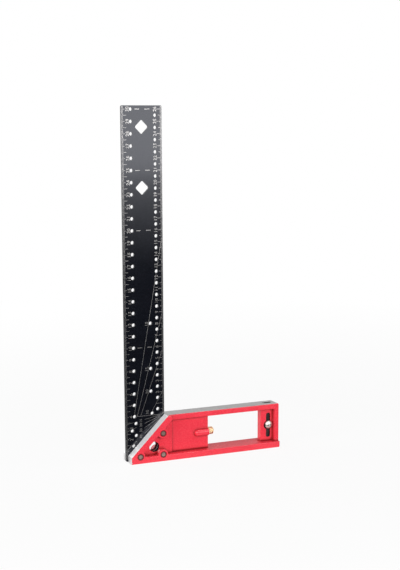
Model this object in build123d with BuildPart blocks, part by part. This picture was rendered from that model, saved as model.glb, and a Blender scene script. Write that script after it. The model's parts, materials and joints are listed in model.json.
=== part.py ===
from build123d import *
import math
import os

os.makedirs("parts", exist_ok=True)

# Try and mitre square: a perforated steel blade riveted in a cast stock, with a scriber
# kept in the stock's web and a ledge bar that slides out of either edge near its far end.
# Sizes are in millimetres. X runs along the stock, Y through its thickness, Z up the blade.
# The origin is on the base, under the middle of the square's reach.

# Overall sizes
reach = 145.0                    # blade's outer edge to the stock's far end
blade_length = 303.0             # base to the blade's top
blade_width = 36.0
stock_height = 40.0              # base to the inner edge that is laid on the work
heel_height = 6.0                # the mitre face ends this far above the base

# Blade
blade_thickness = 2.0
blade_corner_radius = 1.2
blade_setback = 0.7              # the blade's foot stops this far above the base
marking_hole_diameter = 3.0
hole_pitch = 10.0
outer_hole_inset = 8.5           # column of holes for the scale on the outer edge
inner_hole_inset = 5.9           # column of holes for the scale on the inner edge
inner_hole_start = 5.0           # its first hole, above the stock
hole_top_margin = 2.5
angle_hole_inset = 12.0          # from the inner edge
angle_hole_heights = [80.5, 41.1, 21.2]
half_angle_hole = (11.1, 1.5)    # inset from the inner edge, height above the stock
fan_holes = [(26.9, 13.3), (32.2, 22.8), (31.0, 33.0), (38.6, 42.5)]  # radius, degrees below level
diamond_side = 8.8
diamond_corner_radius = 1.3
diamond_top_inset = 17.5
diamond_pitch = 50.0
diamond_count = 2

# Stock casting, half thicknesses from the blade's middle plane
rail_half = 10.0                 # base rail and the band along the mitre face
body_half = 7.5                  # inner edge rail and end post
nose_half = 4.2                  # floor between the band and the panel
web_half = 3.2                   # panel, and the block that guides the ledge bar
base_rail_height = 5.4
top_rail_height = 4.7
end_post_width = 4.1
band_width = 5.6                 # measured square to the mitre face
band_end_length = 4.2            # how far the band runs on past the inner corner
band_end_radius = 3.2
boss_radius = 4.4
inner_blend_radius = 1.2
outer_corner_radius = 1.0
edge_radius = 0.5
nose_floor_length = 6.0          # from the inner corner to the step down to the panel
panel_length = 40.8              # from the inner corner to the window
window_length = 52.1
web_edge_radius = 0.4
foot_groove_height = 1.1
foot_groove_depth = 0.7
block_corner_radius = 1.8
blade_slot_clearance = 0.05
hang_hole_diameter = 9.0
hang_hole_height = 12.3
hang_hole_depth = 11.8           # from the mitre face
hang_hole_blade_clearance = 0.3  # radial, so that only the casting touches a hook

# Rivets
rivet_shank_diameter = 4.0
rivet_head_diameter = 4.5
rivet_head_height = 0.8
rivet_head_recess = 0.1          # the head lies this far under the boss
rivet_head_rounding = 0.3
rivet_shank_clearance = 0.05
rivet_head_clearance = 0.2
rivet_edge_inset = 4.6           # from the blade's inner edge
rivet_row_height = 6.0
upper_rivet_depth = 7.5          # from the mitre face
lower_rivet_depth = 5.7

# Scriber
scriber_height = 20.2            # axis above the base
rib_radius = 3.2                 # half-round, standing on each face of the panel
rib_length = 10.4                # straight part, before the rounded end
scriber_head_diameter = 6.7
scriber_head_length = 5.8
scriber_head_chamfer = 0.9
scriber_ring_place = 3.9         # turned ring groove, from the head's underside
scriber_ring_width = 0.4
scriber_ring_depth = 0.35
scriber_head_gap = 0.2           # between the head and the window's wall
scriber_shank_diameter = 4.4
scriber_shank_length = 11.6
scriber_bore_clearance = 0.1
needle_diameter = 1.8
needle_reach = 24.0              # beyond the shank
needle_grip = 6.0                # length held in the shank
needle_point_length = 5.0
needle_tip_diameter = 0.2
needle_bore_clearance = 0.3
needle_end_clearance = 1.0
o_ring_wire = 1.0
o_ring_offset = 6.0              # from the head's underside
o_ring_clearance = 0.03

# Ledge bar and its friction lock
ledge_inset = 8.6                # slot's centre line from the far end
ledge_travel = 9.4               # each way from mid height
ledge_parking = 0.6              # the bar is parked this far above mid height
ledge_width = 7.2
ledge_thickness = 3.4
ledge_corner_radius = 0.9
ledge_end_gap = 1.0              # the bar's ends lie this far inside the edges
ledge_end_chamfer = 0.5
ledge_clearance = 0.2
button_slot_width = 4.0
button_entry_diameter = 8.4      # the head goes in here when the square is put together
button_head_diameter = 7.0
button_head_height = 2.1
button_rim_height = 0.7
button_neck_diameter = 3.0
button_spigot_diameter = 2.0
button_slot_end_clearance = 0.45
button_press_travel = 0.8
button_head_gap = 0.1            # left under the head when it is pressed
shoe_width = 5.0
shoe_length = 13.0
shoe_thickness = 0.7
shoe_wall_gap = 0.05             # between the shoe and the slot's inner wall
shoe_clearance = 0.15
shoe_corner_radius = 0.8
spring_diameter = 3.4
spring_wire = 0.35
spring_turns = 2.5
spring_end_gap = 0.02
spring_well_clearance = 0.2
spring_well_floor = 0.5

# Shared places
outer_x = -reach / 2
far_x = reach / 2
inner_x = outer_x + blade_width
heel_x = inner_x - (stock_height - heel_height)
blade_middle_x = outer_x + blade_width / 2
nose_floor_x = inner_x + nose_floor_length
window_x = inner_x + panel_length
block_x = window_x + window_length
post_x = far_x - end_post_width
top_rail_z = stock_height - top_rail_height
ledge_x = far_x - ledge_inset
ledge_middle_z = stock_height / 2
ledge_z = ledge_middle_z + ledge_parking
base_rail_middle_z = base_rail_height / 2
post_middle_x = far_x - end_post_width / 2
cut_margin = 5.0                 # cutters run on past what they cut
place_tolerance = 0.01           # for telling edges apart by place


def behind_mitre(depth, height):
    # X of the point that lies at this height, this far in from the mitre face
    return inner_x - stock_height + height + depth * math.sqrt(2)


rivet_column_x = inner_x - rivet_edge_inset
upper_rivet_z = stock_height - rivet_edge_inset - upper_rivet_depth * math.sqrt(2)
rivet_points = [
    (rivet_column_x, upper_rivet_z),
    (rivet_column_x, rivet_row_height),
    (behind_mitre(lower_rivet_depth, rivet_row_height), rivet_row_height),
]
hang_hole_point = (behind_mitre(hang_hole_depth, hang_hole_height), hang_hole_height)

outline_points = [
    (heel_x, 0),
    (far_x, 0),
    (far_x, stock_height),
    (inner_x, stock_height),
    (heel_x, heel_height),
]
band_end_x = inner_x + band_end_length
band_points = [
    (heel_x, heel_height),
    (inner_x, stock_height),
    (band_end_x, stock_height),
    (band_end_x, stock_height + band_end_length - band_width * math.sqrt(2)),
    (behind_mitre(band_width, 0), 0),
    (heel_x, 0),
]

scriber_seat_x = window_x + scriber_head_gap
shank_end_x = scriber_seat_x - scriber_shank_length
needle_tip_x = shank_end_x - needle_reach
o_ring_x = scriber_seat_x - o_ring_offset
shank_bore_radius = scriber_shank_diameter / 2 + scriber_bore_clearance
needle_bore_radius = needle_diameter / 2 + needle_bore_clearance
o_ring_radius = shank_bore_radius - o_ring_clearance - o_ring_wire / 2
groove_radius = o_ring_radius - o_ring_wire / 2 - o_ring_clearance
groove_width = o_ring_wire + 2 * o_ring_clearance

channel_half = ledge_thickness / 2 + ledge_clearance
shoe_front_y = -channel_half + shoe_wall_gap
shoe_back_y = shoe_front_y + shoe_thickness
pocket_floor_y = shoe_back_y + button_press_travel + shoe_clearance
spring_well_floor_y = ledge_thickness / 2 - spring_well_floor
head_back_y = -web_half - button_press_travel - button_head_gap
button_slot_length = 2 * (ledge_travel + button_slot_end_clearance) + button_neck_diameter


def front_plane(y):
    # Sketch plane facing the front, with X to the right and Z up
    return Plane(origin=(0, y, 0), x_dir=(1, 0, 0), z_dir=(0, -1, 0))


def across_plane(x):
    # Sketch plane facing the far end, with Y to the right and Z up
    return Plane(origin=(x, 0, 0), x_dir=(0, 1, 0), z_dir=(1, 0, 0))


def lies_at(value, place):
    return abs(value - place) < place_tolerance


def is_inside_nose(vertex):
    # Corner of the nose outline that lies inside the stock, where a boss, the band and a rail meet
    in_nose = behind_mitre(place_tolerance, vertex.Y) < vertex.X < window_x
    return in_nose and base_rail_height - place_tolerance < vertex.Y < top_rail_z


def is_off_milled_faces(middle):
    below_inner_edge = middle.Z < stock_height - place_tolerance
    off_heel = middle.X > heel_x + place_tolerance
    off_mitre = middle.X > behind_mitre(place_tolerance, middle.Z)
    return below_inner_edge and off_heel and off_mitre


def is_nose_edge(edge):
    # Edge of the faces that stand out furthest: base rail, mitre band and bosses
    middle = edge.center()
    return lies_at(abs(middle.Y), rail_half) and is_off_milled_faces(middle)


def is_rail_edge(edge):
    # Edge of the inner edge rail or the end post, towards the panel or on the far end
    middle = edge.center()
    above_base_rail = middle.Z > base_rail_height + place_tolerance
    before_post = band_end_x < middle.X < post_x + place_tolerance
    in_opening = before_post and middle.Z < top_rail_z + place_tolerance
    on_far_end = middle.X > far_x - outer_corner_radius
    on_face = lies_at(abs(middle.Y), body_half) and is_off_milled_faces(middle)
    return on_face and above_base_rail and (in_opening or on_far_end)


def is_web_edge(edge):
    # Upright edge where a face of the web turns into the window
    middle = edge.center()
    on_web = lies_at(abs(middle.Y), web_half)
    beside_window = lies_at(middle.X, window_x) or lies_at(middle.X, block_x)
    return on_web and beside_window


def hole_columns():
    # Marking holes every hole_pitch along both edges of the blade
    points = []
    outer_span = blade_length - hole_top_margin - stock_height
    for index in range(int(outer_span / hole_pitch) + 1):
        points.append((outer_x + outer_hole_inset, stock_height + index * hole_pitch))
    inner_span = outer_span - inner_hole_start
    for index in range(int(inner_span / hole_pitch) + 1):
        height = stock_height + inner_hole_start + index * hole_pitch
        points.append((inner_x - inner_hole_inset, height))
    return points


def angle_hole_points():
    # Holes beside the angle lines, and the fan of holes below the inner corner
    points = [(inner_x - angle_hole_inset, stock_height + height) for height in angle_hole_heights]
    points.append((inner_x - half_angle_hole[0], stock_height + half_angle_hole[1]))
    for radius, degrees in fan_holes:
        turn = math.radians(degrees)
        points.append((inner_x - radius * math.cos(turn), stock_height - radius * math.sin(turn)))
    return points


# Blade
blade_height = blade_length - blade_setback
with BuildPart() as blade:
    with BuildSketch(Plane.XZ) as blade_face:
        with Locations((blade_middle_x, blade_setback + blade_height / 2)):
            RectangleRounded(blade_width, blade_height, blade_corner_radius)
        with Locations(*hole_columns(), *angle_hole_points()):
            Circle(marking_hole_diameter / 2, mode=Mode.SUBTRACT)
        with Locations(*rivet_points):
            Circle(rivet_shank_diameter / 2 + rivet_shank_clearance, mode=Mode.SUBTRACT)
        with Locations(hang_hole_point):
            Circle(hang_hole_diameter / 2 + hang_hole_blade_clearance, mode=Mode.SUBTRACT)
        for index in range(diamond_count):
            diamond_z = blade_length - diamond_top_inset - index * diamond_pitch
            with Locations(Location((blade_middle_x, diamond_z), 45)):
                RectangleRounded(diamond_side, diamond_side, diamond_corner_radius, mode=Mode.SUBTRACT)
    extrude(amount=blade_thickness / 2, both=True)
blade.part.label = "blade"
export_step(blade.part, "parts/blade.step")


# Rivets: one solid steel pin at each boss, its heads closed in the counterbores
rivet_half = rail_half - rivet_head_recess
with BuildPart() as blade_rivets:
    with BuildSketch(Plane.XZ):
        with Locations(*rivet_points):
            Circle(rivet_shank_diameter / 2)
    extrude(amount=rivet_half, both=True)
    for side in (-1, 1):
        with BuildSketch(front_plane(side * rivet_half)):
            with Locations(*rivet_points):
                Circle(rivet_head_diameter / 2)
        extrude(amount=side * rivet_head_height)
    head_faces = blade_rivets.faces().filter_by(Axis.Y)
    end_faces = head_faces.group_by(Axis.Y)[0] + head_faces.group_by(Axis.Y)[-1]
    fillet(end_faces.edges(), rivet_head_rounding)
blade_rivets.part.label = "blade_rivets"
export_step(blade_rivets.part, "parts/blade_rivets.step")


# Stock casting
with BuildPart() as stock:
    # Base rail, mitre band and rivet bosses stand out furthest
    with BuildSketch(Plane.XZ) as nose_frame:
        Polygon(*band_points, align=None)
        with Locations(((heel_x + far_x) / 2, base_rail_middle_z)):
            Rectangle(far_x - heel_x, base_rail_height)
        with Locations(*rivet_points):
            Circle(boss_radius)
        Polygon(*outline_points, align=None, mode=Mode.INTERSECT)
        fillet(nose_frame.vertices().filter_by(is_inside_nose), inner_blend_radius)
        band_corner = nose_frame.vertices().sort_by_distance((band_end_x, stock_height))[0]
        fillet(band_corner, band_end_radius)
        far_corner = nose_frame.vertices().sort_by_distance((far_x, 0))[0]
        fillet(far_corner, outer_corner_radius)
    extrude(amount=rail_half, both=True)

    # Web: the panel, the guide block and, one step thicker, the nose floor
    with BuildSketch(Plane.XZ):
        Polygon(
            (heel_x, base_rail_middle_z),
            (post_middle_x, base_rail_middle_z),
            (post_middle_x, stock_height),
            (inner_x, stock_height),
            (heel_x, heel_height),
            align=None,
        )
    extrude(amount=web_half, both=True)
    with BuildSketch(Plane.XZ):
        Polygon(
            (heel_x, base_rail_middle_z),
            (nose_floor_x, base_rail_middle_z),
            (nose_floor_x, stock_height),
            (inner_x, stock_height),
            (heel_x, heel_height),
            align=None,
        )
    extrude(amount=nose_half, both=True)

    # Inner edge rail and far end post
    with BuildSketch(Plane.XZ) as rail_frame:
        with Locations(((inner_x + far_x) / 2, (base_rail_middle_z + stock_height) / 2)):
            Rectangle(far_x - inner_x, stock_height - base_rail_middle_z)
        far_corner = rail_frame.vertices().sort_by_distance((far_x, stock_height))[0]
        fillet(far_corner, outer_corner_radius)
        with Locations(((inner_x + post_x) / 2, top_rail_z / 2)):
            Rectangle(post_x - inner_x, top_rail_z, mode=Mode.SUBTRACT)
        post_corner = rail_frame.vertices().sort_by_distance((post_x, top_rail_z))[0]
        fillet(post_corner, block_corner_radius)
    extrude(amount=body_half, both=True)
    cast_edges = stock.edges().filter_by(is_nose_edge) + stock.edges().filter_by(is_rail_edge)
    fillet(cast_edges, edge_radius)

    # Half-round ribs over the scriber's bore, with rounded ends
    rib_end_x = window_x - rib_length
    with BuildSketch(across_plane(rib_end_x)):
        with Locations((-web_half, scriber_height), (web_half, scriber_height)):
            Circle(rib_radius)
    extrude(amount=rib_length)
    with Locations((rib_end_x, -web_half, scriber_height), (rib_end_x, web_half, scriber_height)):
        Sphere(rib_radius)

    # Window
    window_height = top_rail_z - base_rail_height
    with BuildSketch(Plane.XZ):
        with Locations(((window_x + block_x) / 2, base_rail_height + window_height / 2)):
            Rectangle(window_length, window_height)
    extrude(amount=rail_half, both=True, mode=Mode.SUBTRACT)

    # Grooves along the foot of the panel and of the guide block, front and back
    groove_z = base_rail_height + foot_groove_height / 2
    for side in (-1, 1):
        with BuildSketch(front_plane(side * web_half)):
            with Locations(((nose_floor_x + window_x) / 2, groove_z)):
                Rectangle(window_x - nose_floor_x, foot_groove_height)
            with Locations(((block_x + post_x) / 2, groove_z)):
                Rectangle(post_x - block_x, foot_groove_height)
        extrude(amount=side * foot_groove_depth, mode=Mode.SUBTRACT)
    fillet(stock.edges().filter_by(is_web_edge), web_edge_radius)

    # Slot that holds the blade, open along the mitre face and the heel
    slot_width = blade_thickness + 2 * blade_slot_clearance
    slot_end_x = inner_x + blade_slot_clearance
    with BuildSketch(Plane.XY):
        with Locations(((heel_x - cut_margin + slot_end_x) / 2, 0)):
            Rectangle(slot_end_x - heel_x + cut_margin, slot_width)
    extrude(amount=stock_height + cut_margin, both=True, mode=Mode.SUBTRACT)

    # Rivet holes with their counterbores, and the hang hole
    with BuildSketch(Plane.XZ):
        with Locations(*rivet_points):
            Circle(rivet_shank_diameter / 2 + rivet_shank_clearance)
        with Locations(hang_hole_point):
            Circle(hang_hole_diameter / 2)
    extrude(amount=rail_half, both=True, mode=Mode.SUBTRACT)
    counterbore_depth = rivet_head_recess + rivet_head_height
    for side in (-1, 1):
        with BuildSketch(front_plane(side * rail_half)):
            with Locations(*rivet_points):
                Circle((rivet_head_diameter + rivet_head_clearance) / 2)
        extrude(amount=side * counterbore_depth, mode=Mode.SUBTRACT)

    # Scriber's bore, stepped down for the needle
    with BuildSketch(across_plane(window_x)):
        with Locations((0, scriber_height)):
            Circle(shank_bore_radius)
    extrude(amount=shank_end_x - scriber_bore_clearance - window_x, mode=Mode.SUBTRACT)
    with BuildSketch(across_plane(window_x)):
        with Locations((0, scriber_height)):
            Circle(needle_bore_radius)
    extrude(amount=needle_tip_x - needle_end_clearance - window_x, mode=Mode.SUBTRACT)

    # Channel for the ledge bar through both edges, and the button's slot in its front wall
    with BuildSketch(Plane.XY):
        with Locations((ledge_x, 0)):
            RectangleRounded(
                ledge_width + 2 * ledge_clearance,
                2 * channel_half,
                ledge_corner_radius + ledge_clearance,
            )
    extrude(amount=stock_height, mode=Mode.SUBTRACT)
    with BuildSketch(front_plane(0)):
        with Locations((ledge_x, ledge_middle_z)):
            SlotOverall(button_slot_length, button_slot_width, rotation=90)
            Circle(button_entry_diameter / 2)
    extrude(amount=body_half, mode=Mode.SUBTRACT)
stock.part.label = "stock"
export_step(stock.part, "parts/stock.step")


# Scriber: a turned brass handle, with a groove for the O-ring that holds it in the bore
with BuildPart() as scriber_handle:
    with BuildSketch(across_plane(shank_end_x)):
        with Locations((0, scriber_height)):
            Circle(scriber_shank_diameter / 2)
    extrude(amount=scriber_shank_length)
    with BuildSketch(across_plane(scriber_seat_x)):
        with Locations((0, scriber_height)):
            Circle(scriber_head_diameter / 2)
    extrude(amount=scriber_head_length)
    head_end = scriber_handle.faces().sort_by(Axis.X)[-1]
    chamfer(head_end.edges(), scriber_head_chamfer)
    with BuildSketch(across_plane(scriber_seat_x + scriber_ring_place)):
        with Locations((0, scriber_height)):
            Circle(scriber_head_diameter / 2)
            Circle(scriber_head_diameter / 2 - scriber_ring_depth, mode=Mode.SUBTRACT)
    extrude(amount=scriber_ring_width, mode=Mode.SUBTRACT)
    with BuildSketch(across_plane(o_ring_x - groove_width / 2)):
        with Locations((0, scriber_height)):
            Circle(scriber_shank_diameter / 2 + scriber_bore_clearance)
            Circle(groove_radius, mode=Mode.SUBTRACT)
    extrude(amount=groove_width, mode=Mode.SUBTRACT)
    with BuildSketch(across_plane(shank_end_x)):
        with Locations((0, scriber_height)):
            Circle(needle_diameter / 2)
    extrude(amount=needle_grip, mode=Mode.SUBTRACT)
scriber_handle.part.label = "scriber_handle"
export_step(scriber_handle.part, "parts/scriber_handle.step")


# Hardened steel needle, pressed into the handle
needle_root_x = shank_end_x + needle_grip
with BuildPart() as scriber_needle:
    with BuildSketch(Plane.XZ):
        with BuildLine():
            Polyline(
                (needle_tip_x, scriber_height),
                (needle_tip_x, scriber_height + needle_tip_diameter / 2),
                (needle_tip_x + needle_point_length, scriber_height + needle_diameter / 2),
                (needle_root_x, scriber_height + needle_diameter / 2),
                (needle_root_x, scriber_height),
                close=True,
            )
        make_face()
    revolve(axis=Axis((0, 0, scriber_height), (1, 0, 0)))
scriber_needle.part.label = "scriber_needle"
export_step(scriber_needle.part, "parts/scriber_needle.step")


# Rubber O-ring on the handle's shank
with BuildPart() as scriber_o_ring:
    with BuildSketch(Plane.XZ):
        with Locations((o_ring_x, scriber_height + o_ring_radius)):
            Circle(o_ring_wire / 2)
    revolve(axis=Axis((0, 0, scriber_height), (1, 0, 0)))
scriber_o_ring.part.label = "scriber_o_ring"
export_step(scriber_o_ring.part, "parts/scriber_o_ring.step")


# Ledge bar, with a pocket for the brake shoe and a well for its spring
with BuildPart() as ledge_bar:
    with BuildSketch(Plane.XY.offset(ledge_end_gap + ledge_parking)):
        with Locations((ledge_x, 0)):
            RectangleRounded(ledge_width, ledge_thickness, ledge_corner_radius)
    extrude(amount=stock_height - 2 * ledge_end_gap)
    bar_ends = ledge_bar.faces().filter_by(Axis.Z)
    chamfer(bar_ends.edges(), ledge_end_chamfer)
    with BuildSketch(front_plane(pocket_floor_y)):
        with Locations((ledge_x, ledge_z)):
            RectangleRounded(
                shoe_width + 2 * shoe_clearance,
                shoe_length + 2 * shoe_clearance,
                shoe_corner_radius + shoe_clearance,
            )
    extrude(amount=ledge_thickness, mode=Mode.SUBTRACT)
    with BuildSketch(front_plane(spring_well_floor_y)):
        with Locations((ledge_x, ledge_z)):
            Circle(spring_diameter / 2 + spring_well_clearance)
    extrude(amount=ledge_thickness, mode=Mode.SUBTRACT)
ledge_bar.part.label = "ledge_bar"
export_step(ledge_bar.part, "parts/ledge_bar.step")


# Brake shoe, which the spring holds against the inner face of the slotted wall
with BuildPart() as brake_shoe:
    with BuildSketch(front_plane(shoe_back_y)):
        with Locations((ledge_x, ledge_z)):
            RectangleRounded(shoe_width, shoe_length, shoe_corner_radius)
            Circle(button_spigot_diameter / 2, mode=Mode.SUBTRACT)
    extrude(amount=shoe_thickness)
brake_shoe.part.label = "brake_shoe"
export_step(brake_shoe.part, "parts/brake_shoe.step")


# Button: a domed head, a neck through the slot and a spigot riveted in the shoe
with BuildPart() as ledge_button:
    with BuildSketch(front_plane(shoe_back_y)):
        with Locations((ledge_x, ledge_z)):
            Circle(button_spigot_diameter / 2)
    extrude(amount=shoe_thickness)
    with BuildSketch(front_plane(shoe_front_y)):
        with Locations((ledge_x, ledge_z)):
            Circle(button_neck_diameter / 2)
    extrude(amount=shoe_front_y - head_back_y)
    rim_x = ledge_x + button_head_diameter / 2
    rim_y = head_back_y - button_rim_height
    top_y = head_back_y - button_head_height
    with BuildSketch(Plane.XY.offset(ledge_z)):
        with BuildLine():
            Polyline((ledge_x, top_y), (ledge_x, head_back_y), (rim_x, head_back_y), (rim_x, rim_y))
            TangentArc((ledge_x, top_y), (rim_x, rim_y), tangent=(1, 0))
        make_face()
    revolve(axis=Axis((ledge_x, 0, ledge_z), (0, 1, 0)))
ledge_button.part.label = "ledge_button"
export_step(ledge_button.part, "parts/ledge_button.step")


# Spring between the shoe and the bottom of its well
coil_radius = (spring_diameter - spring_wire) / 2
coil_start_y = shoe_back_y + spring_wire / 2 + spring_end_gap
coil_end_y = spring_well_floor_y - spring_wire / 2 - spring_end_gap
coil_pitch = (coil_end_y - coil_start_y) / spring_turns
with BuildPart() as brake_spring:
    with BuildLine() as coil_line:
        Helix(
            coil_pitch,
            coil_end_y - coil_start_y,
            coil_radius,
            center=(ledge_x, coil_start_y, ledge_z),
            direction=(0, 1, 0),
        )
    with BuildSketch(Plane(origin=coil_line.line @ 0, z_dir=coil_line.line % 0)):
        Circle(spring_wire / 2)
    sweep()
brake_spring.part.label = "brake_spring"
export_step(brake_spring.part, "parts/brake_spring.step")
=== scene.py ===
import json
import math

import bmesh
import bpy
from mathutils import Matrix, Vector


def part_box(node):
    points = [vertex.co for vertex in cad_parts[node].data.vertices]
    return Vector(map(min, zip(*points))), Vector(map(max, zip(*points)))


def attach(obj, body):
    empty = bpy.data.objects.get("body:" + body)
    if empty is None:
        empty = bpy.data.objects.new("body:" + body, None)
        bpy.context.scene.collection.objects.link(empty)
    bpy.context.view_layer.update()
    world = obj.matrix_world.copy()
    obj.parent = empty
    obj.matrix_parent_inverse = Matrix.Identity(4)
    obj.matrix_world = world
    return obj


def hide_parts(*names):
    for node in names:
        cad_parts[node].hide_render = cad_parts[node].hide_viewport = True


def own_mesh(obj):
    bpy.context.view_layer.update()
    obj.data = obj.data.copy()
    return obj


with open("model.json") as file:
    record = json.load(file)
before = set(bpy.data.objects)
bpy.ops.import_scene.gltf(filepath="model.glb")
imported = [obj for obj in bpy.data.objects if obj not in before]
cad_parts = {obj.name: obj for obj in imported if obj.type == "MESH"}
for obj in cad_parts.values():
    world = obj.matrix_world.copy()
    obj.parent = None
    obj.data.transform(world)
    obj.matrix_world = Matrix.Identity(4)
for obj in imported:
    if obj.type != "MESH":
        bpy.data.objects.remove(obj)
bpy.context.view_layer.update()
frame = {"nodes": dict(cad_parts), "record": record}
nodes = frame["nodes"]
mounts = {mount["name"]: mount for mount in frame["record"]["mounts"]}
millimetre = 0.001

bladeLow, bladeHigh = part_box("blade")
stockLow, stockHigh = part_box("stock")
handleLow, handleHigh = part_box("scriber_handle")
buttonLow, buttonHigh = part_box("ledge_button")
barLow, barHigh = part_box("ledge_bar")
print("frame loaded,", len(nodes), "CAD nodes")


view = {
    "turn": -24.6366,              # degrees round Z, 0 looks along +Y
    "lift": 11.2948,               # degrees above the floor
    "roll": -0.075,
    "target": (10.463 * millimetre, 0.0, 78.979 * millimetre),
    "distance": 1.114737,
    "lens": 79.966,
    "sensor": 36.0,
    "shift": (-0.02238, 0.14058),
}


def placeCamera():
    turn, lift, roll = (math.radians(view[name]) for name in ("turn", "lift", "roll"))
    back = Vector((math.sin(turn) * math.cos(lift), -math.cos(turn) * math.cos(lift), math.sin(lift)))
    right = Vector((math.cos(turn), math.sin(turn), 0.0))
    up = back.cross(right)
    rolledRight = right * math.cos(roll) + up * math.sin(roll)
    rolledUp = up * math.cos(roll) - right * math.sin(roll)
    lens = bpy.data.cameras.new("camera")
    holder = bpy.data.objects.new("camera", lens)
    bpy.context.scene.collection.objects.link(holder)
    place = Matrix((rolledRight, rolledUp, back)).transposed().to_4x4()
    place.translation = Vector(view["target"]) + back * view["distance"]
    holder.matrix_world = place
    lens.sensor_width = view["sensor"]
    lens.lens = view["lens"]
    lens.shift_x, lens.shift_y = view["shift"]
    lens.clip_start = 0.01
    lens.clip_end = 100.0
    bpy.context.scene.camera = holder


placeCamera()
bpy.context.scene.view_settings.view_transform = "Standard"


def addNode(tree, kind, inputs=None, **settings):
    node = tree.nodes.new(kind)
    for name, value in settings.items():
        setattr(node, name, value)
    for name, value in (inputs or {}).items():
        if isinstance(value, bpy.types.NodeSocket):
            tree.links.new(value, node.inputs[name])
        else:
            node.inputs[name].default_value = value
    return node


def calc(tree, operation, first, second=0.0, third=0.0):
    node = addNode(tree, "ShaderNodeMath", {0: first, 1: second, 2: third}, operation=operation)
    return node.outputs[0]


def vectorCalc(tree, operation, first, second=(0.0, 0.0, 0.0)):
    node = addNode(tree, "ShaderNodeVectorMath", {0: first, 1: second}, operation=operation)
    return node.outputs["Value" if operation in ("DOT_PRODUCT", "LENGTH") else "Vector"]


def ramp(tree, value, low, high, lowValue=0.0, highValue=1.0):
    node = addNode(tree, "ShaderNodeMapRange", {
        "Value": value, "From Min": low, "From Max": high, "To Min": lowValue, "To Max": highValue})
    return node.outputs["Result"]


def blendColour(tree, factor, first, second):
    node = addNode(tree, "ShaderNodeMix", data_type="RGBA")
    for socket, value in ((node.inputs[0], factor), (node.inputs[6], first), (node.inputs[7], second)):
        if isinstance(value, bpy.types.NodeSocket):
            tree.links.new(value, socket)
        else:
            socket.default_value = value
    return node.outputs[2]


def blendValue(tree, factor, first, second):
    node = addNode(tree, "ShaderNodeMix", {0: factor, 2: first, 3: second}, data_type="FLOAT")
    return node.outputs[0]


def objectPlace(tree):
    return addNode(tree, "ShaderNodeTexCoord").outputs["Object"]


def noiseAt(tree, place, scale, detail=3.0, roughness=0.5):
    return addNode(tree, "ShaderNodeTexNoise", {
        "Vector": place, "Scale": scale, "Detail": detail, "Roughness": roughness}).outputs["Fac"]


def bumpFrom(tree, height, strength, distance):
    return addNode(tree, "ShaderNodeBump", {
        "Height": height, "Strength": strength, "Distance": distance}).outputs["Normal"]


def newMaterial(name, settings):
    material = bpy.data.materials.new(name)
    material.use_nodes = True
    tree = material.node_tree
    shader = tree.nodes["Principled BSDF"]
    for socket, value in settings.items():
        shader.inputs[socket].default_value = value
    return material, tree, shader


def connect(tree, shader, **sockets):
    names = {"colour": "Base Color", "roughness": "Roughness", "metallic": "Metallic", "normal": "Normal"}
    for name, output in sockets.items():
        tree.links.new(output, shader.inputs[names[name]])


def newGroup(name, inputs, outputs):
    group = bpy.data.node_groups.new(name, "ShaderNodeTree")
    for label, value in inputs.items():
        socket = group.interface.new_socket(label, in_out="INPUT", socket_type="NodeSocketFloat")
        socket.default_value = value
    for label, kind in outputs.items():
        group.interface.new_socket(label, in_out="OUTPUT", socket_type=kind)
    start = group.nodes.new("NodeGroupInput")
    end = group.nodes.new("NodeGroupOutput")
    return group, start, end


def makePowderGrain():
    # fine orange peel of a baked coat, with a slow drift in tone
    group, start, end = newGroup(
        "powderGrain", {"Scale": 900.0},
        {"Height": "NodeSocketFloat", "Tone": "NodeSocketFloat", "Speckle": "NodeSocketFloat"})
    place = objectPlace(group)
    peel = noiseAt(group, place, start.outputs["Scale"], 2.0, 0.45)
    slow = noiseAt(group, place, calc(group, "MULTIPLY", start.outputs["Scale"], 0.035), 3.0)
    fine = noiseAt(group, place, calc(group, "MULTIPLY", start.outputs["Scale"], 4.0), 1.0)
    group.links.new(peel, end.inputs["Height"])
    group.links.new(ramp(group, slow, 0.3, 0.7), end.inputs["Tone"])
    group.links.new(ramp(group, fine, 0.62, 0.72), end.inputs["Speckle"])
    return group


def makeEdgeWear():
    # rubbed edges, and on the red paint a painted highlight as well: where the rounded normal leaves the
    # face's own, broken up by noise
    group, start, end = newGroup(
        "edgeWearAndHighlight", {"Radius": 0.0004, "Amount": 0.5, "Scale": 260.0}, {"Mask": "NodeSocketFloat"})
    rounded = addNode(group, "ShaderNodeBevel", {"Radius": start.outputs["Radius"]}, samples=4)
    flat = addNode(group, "ShaderNodeNewGeometry")
    match = vectorCalc(group, "DOT_PRODUCT", rounded.outputs["Normal"], flat.outputs["Normal"])
    turned = calc(group, "SUBTRACT", 1.0, match)
    breakUp = noiseAt(group, objectPlace(group), start.outputs["Scale"], 4.0, 0.6)
    edge = calc(group, "MULTIPLY", ramp(group, turned, 0.02, 0.2), ramp(group, breakUp, 0.42, 0.66))
    group.links.new(calc(group, "MULTIPLY", edge, start.outputs["Amount"]), end.inputs["Mask"])
    return group


def makeToolLines():
    # parallel cutter or grinding marks: noise drawn out along the axes with the small scales
    group, start, end = newGroup(
        "toolLines", {"Along X": 60.0, "Along Y": 60.0, "Along Z": 4000.0},
        {"Height": "NodeSocketFloat", "Tone": "NodeSocketFloat"})
    stretch = addNode(group, "ShaderNodeCombineXYZ", {
        "X": start.outputs["Along X"], "Y": start.outputs["Along Y"], "Z": start.outputs["Along Z"]})
    drawn = vectorCalc(group, "MULTIPLY", objectPlace(group), stretch.outputs[0])
    fine = noiseAt(group, drawn, 1.0, 3.0, 0.65)
    broad = noiseAt(group, drawn, 0.22, 2.0)
    group.links.new(fine, end.inputs["Height"])
    group.links.new(ramp(group, calc(group, "ADD", calc(group, "MULTIPLY", fine, 0.7),
                                     calc(group, "MULTIPLY", broad, 0.3)), 0.32, 0.68), end.inputs["Tone"])
    return group


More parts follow.
